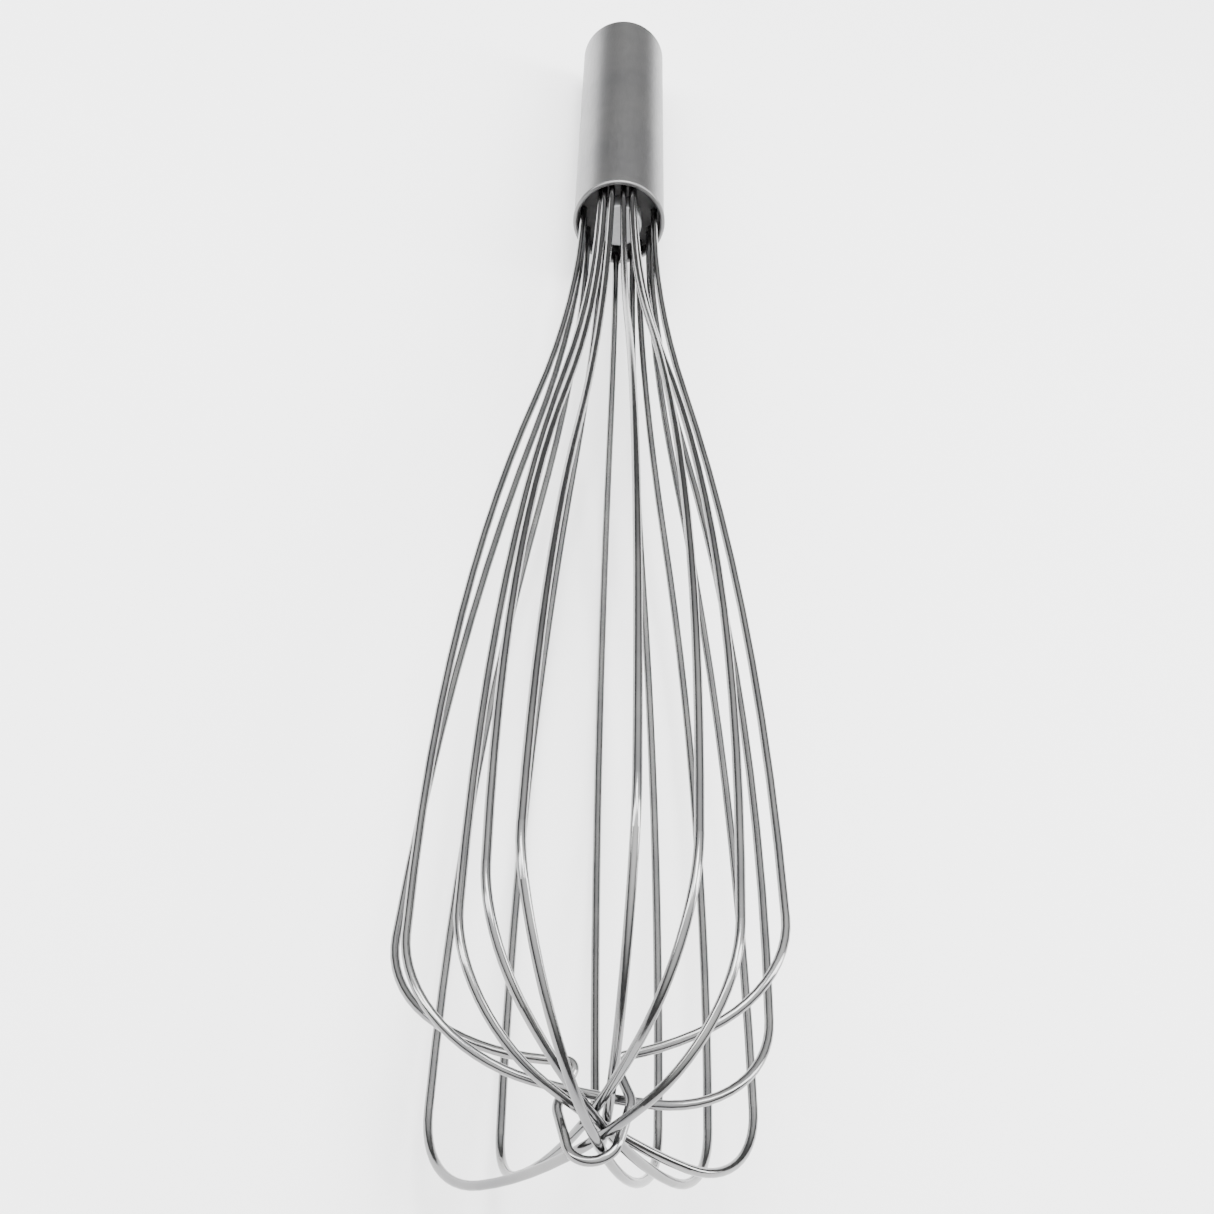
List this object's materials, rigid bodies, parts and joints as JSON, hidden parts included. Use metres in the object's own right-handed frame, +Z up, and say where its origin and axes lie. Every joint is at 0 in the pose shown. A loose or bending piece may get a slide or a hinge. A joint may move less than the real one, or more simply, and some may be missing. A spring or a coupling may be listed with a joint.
{
  "type": "balloon whisk",
  "caption": "Long balloon whisk for a bakery: closed stainless tube handle and a wide balloon of bent spring wires, one of them bent round the others at the tip.",
  "frame": {"origin": "middle of the footprint, on the floor the whisk lies on", "axes": "+Z up, +Y along the whisk towards the closed end of the handle, -Y towards the tip of the balloon, +X to the side; the whisk axis itself slopes down to the handle end by 4.5 degrees because the whisk lies on two wires and the end of the handle"},
  "size_m": [0.0814, 0.5022, 0.0994],
  "materials": {
    "satin_tube": "satin, dressed along the handle",
    "wire_steel": "bright drawn spring wire",
    "plug_metal": "dull, flat faced",
    "block_metal": "as turned, hidden",
    "seal_resin": "matte cast filling"
  },
  "bodies": {
    "root": {"handle_tube": "satin_tube", "handle_end_cap": "satin_tube", "centre_plug": "plug_metal", "sealing_compound": "seal_resin", "wire_anchor_block": "block_metal", "wire_loop_1": "wire_steel", "wire_loop_2": "wire_steel", "wire_loop_3": "wire_steel", "wire_loop_4": "wire_steel", "wire_loop_5": "wire_steel", "wire_loop_6": "wire_steel", "wire_loop_7": "wire_steel", "wire_loop_8": "wire_steel"}
  },
  "joints": []
}
